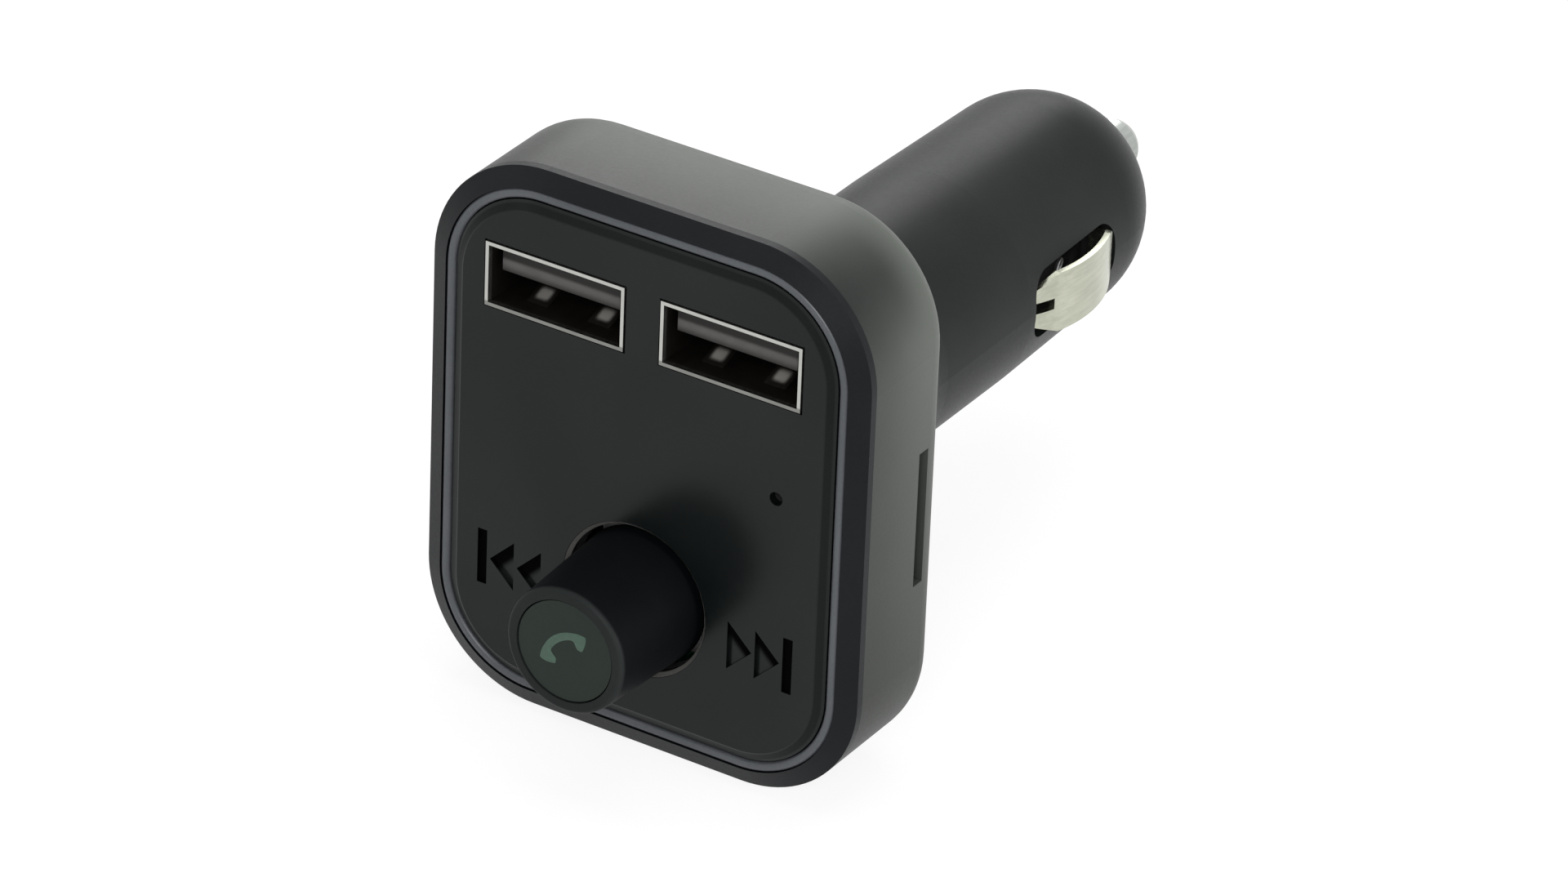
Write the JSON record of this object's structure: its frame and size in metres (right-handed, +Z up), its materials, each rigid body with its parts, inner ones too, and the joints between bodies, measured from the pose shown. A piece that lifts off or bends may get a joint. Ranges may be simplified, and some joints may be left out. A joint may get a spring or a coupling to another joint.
{
  "type": "car fm transmitter",
  "caption": "Car FM transmitter with a round-cornered head, charging ports, call knob, card slot and a sprung plug for a 12 V socket.",
  "frame": {"origin": "on the plug's axis, where the straight wall that the 12 V socket holds begins", "axes": "+X to the right as one looks at the face, +Y from the face back along the plug, +Z up"},
  "size_m": [0.041, 0.0852, 0.0489],
  "materials": {
    "shell_black": "fine moulded texture",
    "bezel_black": "satin",
    "trim_grey": "satin",
    "panel_black": "moulded",
    "face_black": "smoked, satin",
    "board_green": "solder mask",
    "chip_black": "moulded",
    "display_dark": "filled",
    "port_steel": "bright plated",
    "port_grey": "moulded",
    "port_gold": "gold plated",
    "switch_black": "moulded",
    "contact_nickel": "nickel plated",
    "spring_steel": "drawn wire",
    "tip_nickel": "nickel plated",
    "rivet_brass": "plain",
    "mic_rubber": "matte",
    "mic_silver": "satin",
    "socket_steel": "satin",
    "socket_black": "moulded",
    "encoder_steel": "satin",
    "encoder_black": "moulded",
    "switch_steel": "bright",
    "shaft_steel": "turned",
    "knob_black": "satin",
    "lens_dark": "printed with a handset",
    "header_black": "moulded",
    "choke_dark": "ferrite",
    "can_silver": "sleeved",
    "carrier_black": "moulded"
  },
  "bodies": {
    "housing": {"rear_shell": "shell_black", "front_bezel": "bezel_black", "trim_ring": "trim_grey", "front_panel": "panel_black", "face_overlay": "face_black", "main_board": "board_green", "power_board": "board_green", "board_chips": "chip_black", "converter_chip": "chip_black", "display_module": "display_dark", "usb_shell_left": "port_steel", "usb_tongue_left": "port_grey", "usb_contacts_left": "port_gold", "key_switch_left": "switch_black", "side_spring_left": "spring_steel", "usb_shell_right": "port_steel", "usb_tongue_right": "port_grey", "usb_contacts_right": "port_gold", "key_switch_right": "switch_black", "side_spring_right": "spring_steel", "tip_spring": "spring_steel", "supply_rivet": "rivet_brass", "mic_boot": "mic_rubber", "mic_capsule": "mic_silver", "card_socket_cover": "socket_steel", "card_socket_base": "socket_black", "encoder_case": "encoder_steel", "encoder_switch": "switch_steel", "board_header": "header_black", "choke_coil": "choke_dark", "filter_capacitors": "can_silver", "contact_carrier": "carrier_black"},
    "rotor": {"encoder_rotor": "encoder_black"},
    "knob": {"knob_cap": "knob_black", "knob_lens": "lens_dark", "encoder_shaft": "shaft_steel"},
    "tip": {"tip_contact": "tip_nickel"},
    "left_contact": {"side_contact_left": "contact_nickel"},
    "right_contact": {"side_contact_right": "contact_nickel"}
  },
  "joints": [
    {"name": "knob_turn", "type": "hinge", "parent": "housing", "child": "rotor", "pos_m": [0, -0.0234, -0.00975], "axis": [0, 1, 0], "continuous": true},
    {"name": "knob_press", "type": "slide", "parent": "rotor", "child": "knob", "axis": [0, 1, 0], "range_m": [0, 0.0005], "stiffness_N_per_m": 5000, "springref_m": -0.0002},
    {"name": "tip_press", "type": "slide", "parent": "housing", "child": "tip", "axis": [0, -1, 0], "range_m": [0, 0.0025], "stiffness_N_per_m": 2000, "springref_m": -0.001, "deforming": ["tip_spring"]},
    {"name": "left_press", "type": "slide", "parent": "housing", "child": "left_contact", "axis": [1, 0, 0], "range_m": [0, 0.0015], "stiffness_N_per_m": 2000, "springref_m": -0.0005, "deforming": ["side_spring_left"]},
    {"name": "right_press", "type": "slide", "parent": "housing", "child": "right_contact", "axis": [-1, 0, 0], "range_m": [0, 0.0015], "stiffness_N_per_m": 2000, "springref_m": -0.0005, "deforming": ["side_spring_right"]}
  ]
}
